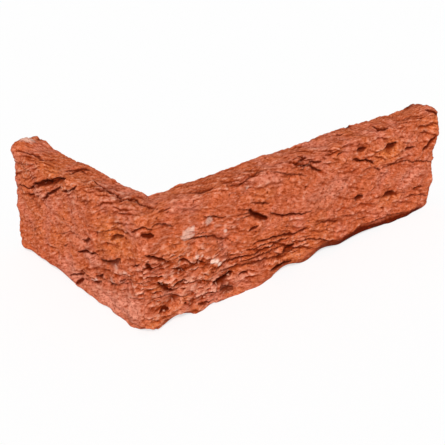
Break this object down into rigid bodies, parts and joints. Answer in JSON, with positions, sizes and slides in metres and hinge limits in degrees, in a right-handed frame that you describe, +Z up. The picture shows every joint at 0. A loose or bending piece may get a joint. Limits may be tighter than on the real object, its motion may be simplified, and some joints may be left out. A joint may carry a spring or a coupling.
{
  "type": "corner brick slip",
  "caption": "L-shaped fired clay corner slip with rough, folded outer faces and flat sawn backs, standing on its bed face.",
  "frame": {"origin": "on the bed plane, at the vertical line where the two sawn back faces meet, so the wall's outer corner touches it there", "axes": "+Z up from bed to bed, +X along the long stretcher leg from the corner to its end, +Y along the short header leg from the corner to its end; the outer faces look towards -Y and -X"},
  "size_m": [0.2371, 0.126, 0.0677],
  "materials": {
    "fired_clay": "matt, unglazed, hand-moulded fired clay"
  },
  "bodies": {
    "root": {"corner_slip": "fired_clay"}
  },
  "joints": []
}
